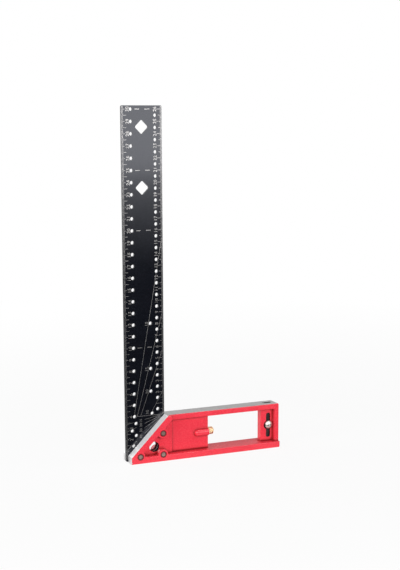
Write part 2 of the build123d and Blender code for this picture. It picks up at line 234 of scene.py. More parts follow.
powderGrain = makePowderGrain()
edgeWearAndHighlight = makeEdgeWear()
toolLines = makeToolLines()


def useGroup(tree, group, **values):
    node = tree.nodes.new("ShaderNodeGroup")
    node.node_tree = group
    for name, value in values.items():
        node.inputs[name.replace("_", " ")].default_value = value
    return node.outputs


faceTolerance = 0.02 * millimetre


def onFace(tree, place, mount):
    # 1 on the flat face that this mount names
    offset = vectorCalc(tree, "SUBTRACT", place, Vector(mount["pos_m"]))
    height = vectorCalc(tree, "DOT_PRODUCT", offset, Vector(mount["axis"]))
    return calc(tree, "GREATER_THAN", height, -faceTolerance)


def withinBand(tree, value, middle, half):
    return calc(tree, "COMPARE", value, middle, half)


castingPaint = {
    "red": (0.86, 0.046, 0.074, 1.0),
    "deepRed": (0.80, 0.036, 0.062, 1.0),
    "wornHighlightRed": (0.90, 0.12, 0.15, 1.0),
    "wearAndHighlight": {"Radius": 0.5 * millimetre, "Amount": 0.55},
    "creaseShadeRed": (0.30, 0.0005, 0.001, 1.0),
    "creaseReach": 3.2 * millimetre,
    "creaseRange": (0.50, 0.965),                          # openness that takes all the painted crease shade, and none
    "litMitreMetal": ((0.90, 0.89, 0.91, 1.0), (0.97, 0.965, 0.98, 1.0)),
    "heelMetal": ((0.62, 0.61, 0.61, 1.0), (0.76, 0.75, 0.75, 1.0)),
    "shadedEdgeMetal": ((0.40, 0.39, 0.39, 1.0), (0.49, 0.48, 0.475, 1.0)),
    "boreShadeBlack": (0.006, 0.004, 0.004, 1.0),
    "rivetShadeRed": (0.24, 0.004, 0.005, 1.0),
    "rivetShadeRing": (2.3 * millimetre, 3.1 * millimetre),      # round each rivet
    "boreMargin": 0.04 * millimetre,
    "channel": {"halfWidth": 3.9 * millimetre, "halfDepth": 1.9 * millimetre},
    "slot": {"halfWidth": 4.25 * millimetre, "halfLength": 11.5 * millimetre,
             "depth": -2.4 * millimetre, "halfDepth": 0.68 * millimetre},
    "edgeRounding": 0.45 * millimetre,
    "paintRoughness": (0.22, 0.32),
    "creaseRoughness": 0.9,
    "metalRoughness": (0.28, 0.46),
    "mitreMetallic": 0.05,
    "heelMetallic": 0.3,
    "peel": 1100.0,
    "cutterLines": {"Along_X": 900.0, "Along_Y": 70.0, "Along_Z": 900.0},
}


def rivetCentres():
    # middle of each loose part of the rivets' CAD mesh, less those within a millimetre of another
    mesh = bmesh.new()
    mesh.from_mesh(nodes["blade_rivets"].data)
    left = dict.fromkeys(mesh.verts)
    centres = []
    while left:
        reached = [left.popitem()[0]]
        points = []
        while reached:
            vert = reached.pop()
            points.append(vert.co.copy())
            for edge in vert.link_edges:
                other = edge.other_vert(vert)
                if other in left:
                    del left[other]
                    reached.append(other)
        centre = Vector([(min(p[i] for p in points) + max(p[i] for p in points)) / 2 for i in range(3)])
        if all((centre - other).length > millimetre for other in centres):
            centres.append(centre)
    mesh.free()
    return centres


def reachFrom(tree, place, centre):
    # distance across the faces from a rivet's axis
    aside = vectorCalc(tree, "SUBTRACT", place, centre)
    return vectorCalc(tree, "LENGTH", vectorCalc(tree, "MULTIPLY", aside, (1, 0, 1)))


def paintedCasting():
    look = castingPaint
    material, tree, shader = newMaterial("paintedCasting", {"Specular IOR Level": 0.42})
    place = objectPlace(tree)
    axes = addNode(tree, "ShaderNodeSeparateXYZ", {0: place}).outputs

    grain = useGroup(tree, powderGrain, Scale=look["peel"])
    wearAndHighlight = useGroup(tree, edgeWearAndHighlight, **look["wearAndHighlight"])["Mask"]
    # painted shade: where the occlusion finds creases and hollows, the paint is darkened towards a deep red
    openness = addNode(tree, "ShaderNodeAmbientOcclusion", {"Distance": look["creaseReach"]},
                       samples=8, only_local=True).outputs["AO"]
    creaseShade = ramp(tree, openness, *look["creaseRange"], 1.0, 0.0)
    paint = blendColour(tree, grain["Tone"], look["red"], look["deepRed"])
    paint = blendColour(tree, creaseShade, paint, look["creaseShadeRed"])
    # painted highlight: the worn edges are painted a lighter, pinker red, partly wear and partly highlight
    paint = blendColour(tree, wearAndHighlight, paint, look["wornHighlightRed"])

    # every part of a rivet adds to the ring of painted shade round it
    for centre in rivetCentres():
        ring = ramp(tree, reachFrom(tree, place, centre), *look["rivetShadeRing"], 1.0, 0.0)
        paint = blendColour(tree, ring, paint, look["rivetShadeRed"])

    # milled faces are left bare, in lit and shaded copies of one metal: painted brightest on the mitre, less
    # bright on the heel and darkest on the long edges
    mitre = onFace(tree, place, mounts["mitre_face"])
    heel = onFace(tree, place, mounts["heel_face"])
    litBareFaces = calc(tree, "MAXIMUM", mitre, heel)
    shadedBareEdges = calc(tree, "MAXIMUM", onFace(tree, place, mounts["inner_edge"]),
                onFace(tree, place, mounts["base_edge"]))
    bare = calc(tree, "MAXIMUM", litBareFaces, shadedBareEdges)
    lines = useGroup(tree, toolLines, **look["cutterLines"])
    shadedEdgeMetal, litMitreMetal, heelMetal = (
        blendColour(tree, lines["Tone"], *look[name]) for name in ("shadedEdgeMetal", "litMitreMetal", "heelMetal"))
    metal = blendColour(tree, mitre, blendColour(tree, heel, shadedEdgeMetal, heelMetal), litMitreMetal)

    # painted shade: the drilled hang hole, the ledge bar's channel and its slot are coloured near black
    # inside
    hole = mounts["hang_hole"]
    acrossHole = calc(tree, "SUBTRACT", axes["X"], hole["pos_m"][0])
    upHole = calc(tree, "SUBTRACT", axes["Z"], hole["pos_m"][2])
    fromAxis = calc(tree, "SQRT", calc(tree, "ADD", calc(tree, "POWER", acrossHole, 2.0),
                                       calc(tree, "POWER", upHole, 2.0)))
    inHole = calc(tree, "LESS_THAN", fromAxis, hole["dims"]["r_mm"] * millimetre + look["boreMargin"])
    channel, slot = look["channel"], look["slot"]
    barX = (barLow.x + barHigh.x) / 2
    slotZ = (buttonLow.z + buttonHigh.z) / 2
    inChannel = calc(tree, "MULTIPLY", withinBand(tree, axes["X"], barX, channel["halfWidth"]),
                     withinBand(tree, axes["Y"], 0.0, channel["halfDepth"]))
    inSlot = calc(tree, "MULTIPLY", withinBand(tree, axes["X"], barX, slot["halfWidth"]),
                  withinBand(tree, axes["Y"], slot["depth"], slot["halfDepth"]))
    inSlot = calc(tree, "MULTIPLY", inSlot, withinBand(tree, axes["Z"], slotZ, slot["halfLength"]))
    dark = calc(tree, "MAXIMUM", inHole, calc(tree, "MAXIMUM", inChannel, inSlot))

    colour = blendColour(tree, dark, paint, look["boreShadeBlack"])
    colour = blendColour(tree, bare, colour, metal)
    roughness = ramp(tree, grain["Height"], 0.3, 0.7, *look["paintRoughness"])
    roughness = blendValue(tree, creaseShade, roughness, look["creaseRoughness"])
    roughness = blendValue(tree, dark, roughness, 1.0)
    metalRoughness = ramp(tree, lines["Height"], 0.3, 0.7, *look["metalRoughness"])
    roughness = blendValue(tree, bare, roughness, metalRoughness)
    metallic = calc(tree, "MAXIMUM", shadedBareEdges, dark)
    for face, share in ((heel, look["heelMetallic"]), (mitre, look["mitreMetallic"])):
        metallic = calc(tree, "MAXIMUM", metallic, calc(tree, "MULTIPLY", face, share))
    height = blendValue(tree, bare, grain["Height"], calc(tree, "MULTIPLY", lines["Height"], 0.5))
    bump = addNode(tree, "ShaderNodeBump", {"Height": height, "Strength": 0.35, "Distance": 0.00006})
    rounded = addNode(tree, "ShaderNodeBevel", {"Radius": look["edgeRounding"]}, samples=6)
    tree.links.new(rounded.outputs[0], bump.inputs["Normal"])
    connect(tree, shader, colour=colour, roughness=roughness, metallic=metallic, normal=bump.outputs[0])
    return material


bladeCoat = {
    "black": (0.0035, 0.0042, 0.0068, 1.0),
    "blackSoft": (0.0055, 0.0062, 0.0095, 1.0),
    "rubbedSteel": (0.05, 0.048, 0.046, 1.0),
    "sheenTint": (0.90, 0.92, 1.0, 1.0),     # the coat's faint blue
    "roughness": (0.09, 0.13),
    "peel": 2600.0,
    "rollingLines": {"Along_X": 2500.0, "Along_Y": 300.0, "Along_Z": 30.0},
    "wearAndHighlight": {"Radius": 0.25 * millimetre, "Amount": 0.7, "Scale": 420.0},
}


def blackBladeCoat():
    look = bladeCoat
    material, tree, shader = newMaterial("blackBladeCoat", {
        "IOR": 1.45, "Specular IOR Level": 0.5, "Specular Tint": look["sheenTint"]})
    grain = useGroup(tree, powderGrain, Scale=look["peel"])
    lines = useGroup(tree, toolLines, **look["rollingLines"])
    wearAndHighlight = useGroup(tree, edgeWearAndHighlight, **look["wearAndHighlight"])["Mask"]
    colour = blendColour(tree, grain["Tone"], look["black"], look["blackSoft"])
    colour = blendColour(tree, wearAndHighlight, colour, look["rubbedSteel"])
    roughness = ramp(tree, lines["Tone"], 0.0, 1.0, *look["roughness"])
    connect(tree, shader, colour=colour, roughness=roughness, metallic=calc(tree, "MULTIPLY", wearAndHighlight, 0.8),
            normal=bumpFrom(tree, grain["Height"], 0.12, 0.00002))
    return material


etchedLook = {
    "thin": (0.20, 0.195, 0.192, 1.0),
    "deep": (0.34, 0.33, 0.325, 1.0),
    "speck": (0.10, 0.10, 0.10, 1.0),
    "grain": 5200.0,
    "roughness": (0.24, 0.34),
    "metallic": (0.62, 0.78),
}


def etchedSteel():
    # marks burnt through the coat to the steel, greyer where the etch is thin
    look = etchedLook
    material, tree, shader = newMaterial("etchedSteel", {})
    grain = useGroup(tree, powderGrain, Scale=look["grain"])
    colour = blendColour(tree, grain["Tone"], look["thin"], look["deep"])
    colour = blendColour(tree, grain["Speckle"], colour, look["speck"])
    connect(tree, shader, colour=colour,
            roughness=ramp(tree, grain["Height"], 0.3, 0.7, *look["roughness"]),
            metallic=ramp(tree, grain["Tone"], 0.0, 1.0, *look["metallic"]),
            normal=bumpFrom(tree, grain["Height"], 0.4, 0.00002))
    return material


acrossShaft = {"Along_X": 1800.0, "Along_Y": 260.0, "Along_Z": 260.0}   # lathe marks round a part along X
buttonPlate = {
    "name": "platedButton", "lines": {"Along_X": 500.0, "Along_Y": 1500.0, "Along_Z": 500.0},
    "light": (0.78, 0.73, 0.68, 1.0), "dark": (0.52, 0.47, 0.42, 1.0), "worn": (0.95, 0.93, 0.90, 1.0),
    "roughness": (0.28, 0.42),
}
needleSteel = {
    "name": "hardenedSteel", "lines": acrossShaft,
    "light": (0.52, 0.52, 0.53, 1.0), "dark": (0.33, 0.33, 0.34, 1.0), "worn": (0.7, 0.7, 0.7, 1.0),
    "roughness": (0.16, 0.30),
}
springSteel = {
    "name": "springSteel", "lines": acrossShaft,
    "light": (0.50, 0.49, 0.47, 1.0), "dark": (0.30, 0.29, 0.28, 1.0), "worn": (0.62, 0.61, 0.60, 1.0),
    "roughness": (0.24, 0.38),
}
headBrass = {
    "name": "turnedBrass", "lines": acrossShaft,
    "light": (0.95, 0.75, 0.50, 1.0), "dark": (0.72, 0.54, 0.33, 1.0), "worn": (0.98, 0.87, 0.66, 1.0),
    "roughness": (0.24, 0.38),
}
turnedWear = {"Radius": 0.2 * millimetre, "Amount": 0.8, "Scale": 700.0}


def turnedMetal(look):
    material, tree, shader = newMaterial(look["name"], {})
    lines = useGroup(tree, toolLines, **look["lines"])
    grain = useGroup(tree, powderGrain, Scale=1500.0)
    wearAndHighlight = useGroup(tree, edgeWearAndHighlight, **turnedWear)["Mask"]
    tone = calc(tree, "ADD", calc(tree, "MULTIPLY", lines["Tone"], 0.6),
                calc(tree, "MULTIPLY", grain["Tone"], 0.4))
    colour = blendColour(tree, tone, look["dark"], look["light"])
    colour = blendColour(tree, wearAndHighlight, colour, look["worn"])
    connect(tree, shader, colour=colour,
            roughness=ramp(tree, lines["Height"], 0.3, 0.7, *look["roughness"]),
            metallic=ramp(tree, grain["Speckle"], 0.0, 1.0, 1.0, 0.85),
            normal=bumpFrom(tree, lines["Height"], 0.25, 0.00003))
    return material


rivetLook = {
    "face": ((0.24, 0.15, 0.13, 1), (0.38, 0.26, 0.225, 1)),
    "rimShade": (0.030, 0.016, 0.014, 1),
    "rimRadius": (1.45 * millimetre, 2.05 * millimetre),
    "roughness": (0.38, 0.52),
    "metallic": (0.75, 0.2),                                # on the face and at the rim
    "turningLines": 26000.0,
    "grain": 1700.0,
}


def rivetSteel():
    # turned faces that darken towards the rim with painted shade
    look = rivetLook
    material, tree, shader = newMaterial("rivetSteel", {})
    place = objectPlace(tree)
    reach = None
    for centre in rivetCentres():
        own = reachFrom(tree, place, centre)
        reach = own if reach is None else calc(tree, "MINIMUM", reach, own)
    grain = useGroup(tree, powderGrain, Scale=look["grain"])
    turned = calc(tree, "SINE", calc(tree, "MULTIPLY", reach, look["turningLines"]))
    tone = calc(tree, "ADD", calc(tree, "MULTIPLY", turned, 0.18), grain["Tone"])
    face = blendColour(tree, tone, *look["face"])
    rimShade = ramp(tree, reach, *look["rimRadius"])
    colour = blendColour(tree, rimShade, face, look["rimShade"])
    height = calc(tree, "ADD", grain["Height"], calc(tree, "MULTIPLY", turned, 0.3))
    connect(tree, shader, colour=colour,
            roughness=ramp(tree, grain["Height"], 0.3, 0.7, *look["roughness"]),
            metallic=ramp(tree, rimShade, 0.0, 1.0, *look["metallic"]),
            normal=bumpFrom(tree, height, 0.3, 0.00004))
    return material


barLook = {
    "black": (0.018, 0.016, 0.015, 1.0),
    "blackSoft": (0.042, 0.038, 0.036, 1.0),
    "rubbedSteel": (0.22, 0.21, 0.20, 1.0),
    "drawnLines": {"Along_X": 2600.0, "Along_Y": 2600.0, "Along_Z": 40.0},
    "wearAndHighlight": {"Radius": 0.3 * millimetre, "Amount": 0.9, "Scale": 500.0},
    "roughness": (0.38, 0.52),
    "metallic": (0.3, 0.9),                                 # coated and rubbed
    "grain": 1900.0,
}


def darkenedSteel():
    # blackened bar and shoe: matt, with grey rubbed on the long edges
    look = barLook
    material, tree, shader = newMaterial("darkenedSteel", {"Specular IOR Level": 0.5})
    grain = useGroup(tree, powderGrain, Scale=look["grain"])
    lines = useGroup(tree, toolLines, **look["drawnLines"])
    wearAndHighlight = useGroup(tree, edgeWearAndHighlight, **look["wearAndHighlight"])["Mask"]
    colour = blendColour(tree, lines["Tone"], look["black"], look["blackSoft"])
    colour = blendColour(tree, wearAndHighlight, colour, look["rubbedSteel"])
    connect(tree, shader, colour=colour,
            roughness=ramp(tree, grain["Height"], 0.3, 0.7, *look["roughness"]),
            metallic=ramp(tree, wearAndHighlight, 0.0, 1.0, *look["metallic"]),
            normal=bumpFrom(tree, lines["Height"], 0.2, 0.00003))
    return material


ringLook = {
    "black": (0.016, 0.016, 0.017, 1.0),
    "blackSoft": (0.030, 0.029, 0.029, 1.0),
    "roughness": (0.55, 0.75),
    "grain": 3000.0,
}


def ringRubber():
    look = ringLook
    material, tree, shader = newMaterial("ringRubber", {"Specular IOR Level": 0.35})
    grain = useGroup(tree, powderGrain, Scale=look["grain"])
    colour = blendColour(tree, grain["Tone"], look["black"], look["blackSoft"])
    connect(tree, shader, colour=colour,
            roughness=ramp(tree, grain["Height"], 0.3, 0.7, *look["roughness"]),
            normal=bumpFrom(tree, grain["Height"], 0.3, 0.00004))
    return material


def finish(node, material):
    slots = nodes[node].data.materials
    if len(slots) == 0:
        slots.append(material)
    for index in range(len(slots)):
        slots[index] = material


barSteel = darkenedSteel()
brassFinish = turnedMetal(headBrass)
springFinish = turnedMetal(springSteel)
for node, material in (
        ("stock", paintedCasting()), ("blade", blackBladeCoat()), ("blade_rivets", rivetSteel()),
        ("ledge_button", turnedMetal(buttonPlate)), ("scriber_needle", turnedMetal(needleSteel)),
        ("scriber_o_ring", ringRubber()), ("ledge_bar", barSteel), ("brake_shoe", barSteel)):
    finish(node, material)
print("finishes made")


bladeLayout = {                  # lengths from the blade's outer edge and from the base
    "width": bladeHigh.x - bladeLow.x,
    "baseline": stockHigh.z,
    "top": bladeHigh.z,
    "holePitch": 10 * millimetre,
    "holeRadius": 1.5 * millimetre,
    "outerHoles": 8.5 * millimetre,
    "innerHoles": 30.1 * millimetre,
    "innerHoleStart": 5 * millimetre,
    "angleHoles": 24.0 * millimetre,
    "angleHoleHeights": (80.5 * millimetre, 41.1 * millimetre, 21.2 * millimetre),
    "halfAngleHole": (24.9 * millimetre, 1.5 * millimetre),
    "fanHoles": ((26.9, 13.3), (32.2, 22.8), (31.0, 33.0), (38.6, 42.5)),  # mm from the corner, degrees down
    "dashHeights": (300, 250, 200, 100),                                   # mm up the outer scale
    "dashSpans": ((12.0, 16.0), (20.8, 25.1)),                             # mm across
    "angleLines": ((10, 8.3), (15, 11.4), (20, 14.7), (30, 23.9)),         # degrees from upright, foot in mm
    "fanAngles": ((10, 7.3), (20, 10.0), (30, 4.3), (40, 10.3)),           # degrees down, outer end in mm
}
markStyle = {
    "proud": 0.012 * millimetre,
    "sunk": 0.03 * millimetre,
    "outerTickWidth": 0.34 * millimetre,
    "innerTickWidth": 0.39 * millimetre,
    "lineWidth": 0.34 * millimetre,
    "edgeGap": 0.05 * millimetre,          # between a tick and the blade's edge
    "stockGap": 4.1 * millimetre,          # how far below its own height a low tick stays off the stock
    "lowTick": 1.9 * millimetre,
    "firstOuterTick": 3,                   # millimetres up the outer scale
    "firstOuterNumber": 2,                 # centimetres up the outer scale
    "angleFoot": 2.0 * millimetre,         # angle lines start this high above the stock
    "angleTail": 1.8 * millimetre,         # and run on below by this much
    "angleEnd": 1.1 * millimetre,          # from the inner edge
    "cornerGap": 1.5 * millimetre,
    "baseLineStart": 10.3 * millimetre,
    "fanInner": 17.5 * millimetre,
    "fanOuter": 0.4 * millimetre,
    "fanGap": 4.0 * millimetre,            # between the fan's lines and the inner corner
    "dashWidth": 0.58 * millimetre,
    "shortTick": 1.7 * millimetre,
    "centimetreTick": 3.1 * millimetre,
    "halfTick": 4.5 * millimetre,
    "outerDigit": 3.0 * millimetre,
    "innerDigit": 2.9 * millimetre,
    "angleDigit": 2.7 * millimetre,
    "fanDigit": 2.3 * millimetre,
    "outerNumbers": 5.3 * millimetre,
    "innerNumbers": 29.7 * millimetre,
    "angleNumbers": 20.2 * millimetre,
    "fanNumbers": 14.1 * millimetre,
    "holeMargin": 0.25 * millimetre,
    "shortestStretch": 0.01,               # share of a line that is still drawn between two holes
    "lastAngleRise": 1.5 * millimetre,     # the last angle number stands above its hole
    "fanSquash": 0.98,
}


def holeCentres():
    layout = bladeLayout
    centres = []
    for index in range(int((layout["top"] - layout["baseline"]) / layout["holePitch"]) + 1):
        up = layout["baseline"] + index * layout["holePitch"]
        centres.append((layout["outerHoles"], up))
        centres.append((layout["innerHoles"], up + layout["innerHoleStart"]))
    for up in layout["angleHoleHeights"]:
        centres.append((layout["angleHoles"], layout["baseline"] + up))
    centres.append((layout["halfAngleHole"][0], layout["baseline"] + layout["halfAngleHole"][1]))
    for reach, degrees in layout["fanHoles"]:
        turn = math.radians(degrees)
        centres.append((layout["width"] - reach * millimetre * math.cos(turn),
                        layout["baseline"] - reach * millimetre * math.sin(turn)))
    return centres


def openStretches(start, end, centres, radius):
    # the parts of a straight line that no hole takes away, as shares of its length
    line = Vector(end) - Vector(start)
    taken = []
    for centre in centres:
        toCentre = Vector(centre) - Vector(start)
        along = toCentre.dot(line) / line.length_squared
        aside = (toCentre - line * along).length
        if aside < radius:
            half = math.sqrt(radius ** 2 - aside ** 2) / line.length
            taken.append((along - half, along + half))
    stretches = []
    reached = 0.0
    for low, high in sorted(taken):
        if low > reached:
            stretches.append((reached, min(low, 1.0)))
        reached = max(reached, high)
    if reached < 1.0:
        stretches.append((reached, 1.0))
    return [(low, high) for low, high in stretches if high - low > markStyle["shortestStretch"]]


def fromBlade(side, across, up, proud):
    # a point on the front (side -1) or back (side 1) face of the blade
    face = bladeLow.y if side < 0 else bladeHigh.y
    return Vector((bladeLow.x + across, face + side * proud, up))


def addStrip(mesh, side, start, end, width):
    # a thin closed bar along a line on one face of the blade
    along = (Vector(end) - Vector(start)).normalized()
    across = Vector((-along.y, along.x)) * (width / 2)
    corners = [Vector(start) - across, Vector(end) - across, Vector(end) + across, Vector(start) + across]
    outer = [mesh.verts.new(fromBlade(side, c.x, c.y, markStyle["proud"])) for c in corners]
    inner = [mesh.verts.new(fromBlade(side, c.x, c.y, -markStyle["sunk"])) for c in corners]
    mesh.faces.new(outer if side < 0 else outer[::-1])
    mesh.faces.new(inner[::-1] if side < 0 else inner)
    for index in range(4):
        following = (index + 1) % 4
        wall = [outer[index], inner[index], inner[following], outer[following]]
        mesh.faces.new(wall if side < 0 else wall[::-1])


def addLine(mesh, side, start, end, width, centres):
    clear = bladeLayout["holeRadius"] + markStyle["holeMargin"]
    line = Vector(end) - Vector(start)
    for low, high in openStretches(start, end, centres, clear):
        addStrip(mesh, side, Vector(start) + line * low, Vector(start) + line * high, width)


def tickLength(count):
    if count % 10 == 0:
        return markStyle["centimetreTick"]
    if count % 5 == 0:
        return markStyle["halfTick"]
    return markStyle["shortTick"]


def addScales(mesh, side):
    layout, style = bladeLayout, markStyle
    edge = style["edgeGap"]
    for count in range(style["firstOuterTick"], int(layout["top"] / millimetre)):
        up = count * millimetre
        clear = max(style["lowTick"], up - style["stockGap"])
        addStrip(mesh, side, (edge, up), (min(tickLength(count), clear), up), style["outerTickWidth"])
    for count in range(1, int((layout["top"] - layout["baseline"]) / millimetre)):
        up = layout["baseline"] + count * millimetre
        swapped = count + 5 if count % 5 == 0 else count    # the long ticks stand at the centimetres here
        inner = layout["width"] - tickLength(swapped)
        addStrip(mesh, side, (inner, up), (layout["width"] - edge, up), style["innerTickWidth"])
    for height in layout["dashHeights"]:
        up = height * millimetre
        for start, end in layout["dashSpans"]:
            addStrip(mesh, side, (start * millimetre, up), (end * millimetre, up), style["dashWidth"])


def onFan(across, drop):
    # a point on a line that falls away from the inner corner
    return (across, bladeLayout["baseline"] - (bladeLayout["width"] - across) * drop)


def addAngles(mesh, side, centres):
    layout, style = bladeLayout, markStyle
    footHeight = layout["baseline"] + style["angleFoot"]
    for degrees, foot in layout["angleLines"]:
        foot = foot * millimetre
        lean = math.tan(math.radians(degrees))
        end = layout["width"] - style["angleEnd"]
        head = (end, footHeight + (end - foot) / lean)
        start = (foot - style["angleTail"] * lean, footHeight - style["angleTail"])
        addLine(mesh, side, start, head, style["lineWidth"], centres)
    corner = (layout["width"] - style["cornerGap"], layout["baseline"])
    addLine(mesh, side, (style["baseLineStart"], layout["baseline"]), corner, style["lineWidth"], centres)
    for degrees, outerReach in layout["fanAngles"]:
        drop = math.tan(math.radians(degrees))
        near = layout["width"] - style["fanGap"] * math.cos(math.radians(degrees))
        for start, end in ((style["fanInner"], near), (style["fanOuter"], outerReach * millimetre)):
            addLine(mesh, side, onFan(start, drop), onFan(end, drop), style["lineWidth"], centres)


digitShape = {"size": 1.0, "offset": 0.014, "resolution_u": 3, "space_character": 1.08, "extrude": 0.05}


def digitMesh(text):
    # plain digits, centred, one unit tall
    curve = bpy.data.curves.new("digits", "FONT")
    curve.body = text
    for name, value in digitShape.items():
        setattr(curve, name, value)
    carrier = bpy.data.objects.new("digits", curve)
    bpy.context.scene.collection.objects.link(carrier)
    made = bpy.data.meshes.new_from_object(carrier.evaluated_get(bpy.context.evaluated_depsgraph_get()))
    bpy.data.objects.remove(carrier)
    bpy.data.curves.remove(curve)
    points = [vertex.co for vertex in made.vertices]
    low = Vector([min(p[i] for p in points) for i in range(3)])
    high = Vector([max(p[i] for p in points) for i in range(3)])
    made.transform(Matrix.Scale(1 / (high.y - low.y), 4) @ Matrix.Translation(-(low + high) / 2))
    return made


digitMeshes = {}


def addNumber(mesh, side, number, across, up, height):
    # a number that reads upwards along the blade
    if number not in digitMeshes:
        digitMeshes[number] = digitMesh(str(number))
    flat = digitMeshes[number]
    thickness = markStyle["proud"] + markStyle["sunk"]
    unitDepth = max(v.co.z for v in flat.vertices) * 2
    scale = Matrix.Diagonal((height, height, thickness / unitDepth, 1.0))
    right, upwards = Vector((0, 0, 1)), Vector((side, 0, 0))
    turn = Matrix((right, upwards, right.cross(upwards))).transposed().to_4x4()
    middle = fromBlade(side, across, up, (markStyle["proud"] - markStyle["sunk"]) / 2)
    placed = flat.copy()
    placed.transform(Matrix.Translation(middle) @ turn @ scale)
    mesh.from_mesh(placed)
    bpy.data.meshes.remove(placed)


def addNumbers(mesh, side):
    layout, style = bladeLayout, markStyle
    centimetre = 10 * millimetre
    for count in range(style["firstOuterNumber"], int(layout["top"] / centimetre) + 1):
        addNumber(mesh, side, count, style["outerNumbers"], count * centimetre, style["outerDigit"])
    for count in range(1, int((layout["top"] - layout["baseline"]) / centimetre) + 1):
        up = layout["baseline"] + count * centimetre
        addNumber(mesh, side, count, style["innerNumbers"], up, style["innerDigit"])
    heights = (*layout["angleHoleHeights"], layout["halfAngleHole"][1] + style["lastAngleRise"])
    for (degrees, _), height in zip(layout["angleLines"], heights):
        up = layout["baseline"] + height
        addNumber(mesh, side, degrees, style["angleNumbers"], up, style["angleDigit"])
    for degrees, _ in layout["fanAngles"]:
        drop = (layout["width"] - style["fanNumbers"]) * math.tan(math.radians(degrees)) * style["fanSquash"]
        addNumber(mesh, side, degrees, style["fanNumbers"], layout["baseline"] - drop, style["fanDigit"])


def meshPiece(name, mesh, material, body):
    bmesh.ops.remove_doubles(mesh, verts=mesh.verts, dist=1e-7)
    data = bpy.data.meshes.new(name)
    mesh.to_mesh(data)
    mesh.free()
    piece = bpy.data.objects.new(name, data)
    bpy.context.scene.collection.objects.link(piece)
    data.materials.append(material)
    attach(piece, body)
    return piece


etched = etchedSteel()
holes = holeCentres()
for side, word in ((-1, "front"), (1, "back")):
    scaleMesh = bmesh.new()
    addScales(scaleMesh, side)
    meshPiece("blade_scale_" + word, scaleMesh, etched, "root")
    angleMesh = bmesh.new()
    addAngles(angleMesh, side, holes)
    meshPiece("blade_angle_lines_" + word, angleMesh, etched, "root")
    numberMesh = bmesh.new()
    addNumbers(numberMesh, side)
    meshPiece("blade_numbers_" + word, numberMesh, etched, "root")
print("blade marks made")


brassHandle = {
    "headLength": 5.8 * millimetre,
    "shankRadius": 2.2 * millimetre,
    "boreRadius": 0.9 * millimetre,
    "boreDepth": 6.0 * millimetre,
    "ringGroove": (-5.35 * millimetre, -6.65 * millimetre, 1.25 * millimetre),  # from the head's underside
    "chamfer": 0.75 * millimetre,
    "cornerBreak": 0.3 * millimetre,
    "bandGroove": (0.1 * millimetre, 0.4 * millimetre),      # lead and depth of the groove between the bands
    "bandEnds": (0.45 * millimetre, 3.75 * millimetre, 4.25 * millimetre, 5.1 * millimetre),
    "knurlDepth": 0.2 * millimetre,
    "knurlTeeth": 22,
    "knurlSteepness": 4.2,
    "segments": 176,
    "sharpAngle": 32,
    "step": 0.11 * millimetre,
}


def knurlCut(angle, along):
    # two families of sloping grooves that leave diamonds
    style = brassHandle
    headRadius = (handleHigh.z - handleLow.z) / 2
    pitch = 2 * math.pi * headRadius / style["knurlTeeth"]
    depth = 0.0
    for slope in (-1, 1):
        phase = (angle * style["knurlTeeth"] / (2 * math.pi) + slope * along / pitch) % 1.0
        depth = max(depth, 1 - abs(phase - 0.5) * style["knurlSteepness"])
    return depth * style["knurlDepth"]


def handleProfile():
    # (distance along X, radius, knurled share) from the bore's floor round to the head's end
    style = brassHandle
    seat = handleHigh.x - style["headLength"]
    headRadius = (handleHigh.z - handleLow.z) / 2
    shankEnd = handleLow.x
    shankRadius, corner = style["shankRadius"], style["cornerBreak"]
    boreEnd = shankEnd + style["boreDepth"]
    grooveStart, grooveEnd, grooveRadius = style["ringGroove"]
    bandStart, bandEnd, secondStart, secondEnd = style["bandEnds"]
    lead, depth = style["bandGroove"]
    profile = [
        (boreEnd, 0.0, 0), (boreEnd, style["boreRadius"], 0),
        (shankEnd, style["boreRadius"], 0), (shankEnd, shankRadius - corner, 0),
        (shankEnd + corner, shankRadius, 0),
        (seat + grooveEnd, shankRadius, 0), (seat + grooveEnd, grooveRadius, 0),
        (seat + grooveStart, grooveRadius, 0), (seat + grooveStart, shankRadius, 0),
        (seat, shankRadius, 0), (seat, headRadius - corner, 0), (seat + corner, headRadius, 0),
        (seat + bandStart, headRadius, 0),
    ]
    for start, end in ((bandStart, bandEnd), (secondStart, secondEnd - 2 * lead)):
        steps = round((end - start) / style["step"])
        for index in range(steps + 1):
            share = 0 if index in (0, steps) else 1
            profile.append((seat + start + (end - start) * index / steps, headRadius, share))
        if start == bandStart:
            profile.append((seat + bandEnd + lead, headRadius - depth, 0))
            profile.append((seat + secondStart - lead, headRadius - depth, 0))
    endRadius = headRadius - style["chamfer"]
    profile += [(handleHigh.x - 2 * lead, endRadius, 0), (handleHigh.x, endRadius - corner, 0),
                (handleHigh.x, 0.0, 0)]
    return profile


def joinRings(mesh, first, second):
    # a band of faces between two rings, either of which may be a single vertex
    count = max(len(first), len(second))
    for index in range(count):
        following = (index + 1) % count
        corners = [first[index % len(first)], second[index % len(second)],
                   second[following % len(second)], first[following % len(first)]]
        mesh.faces.new(list(dict.fromkeys(corners)))


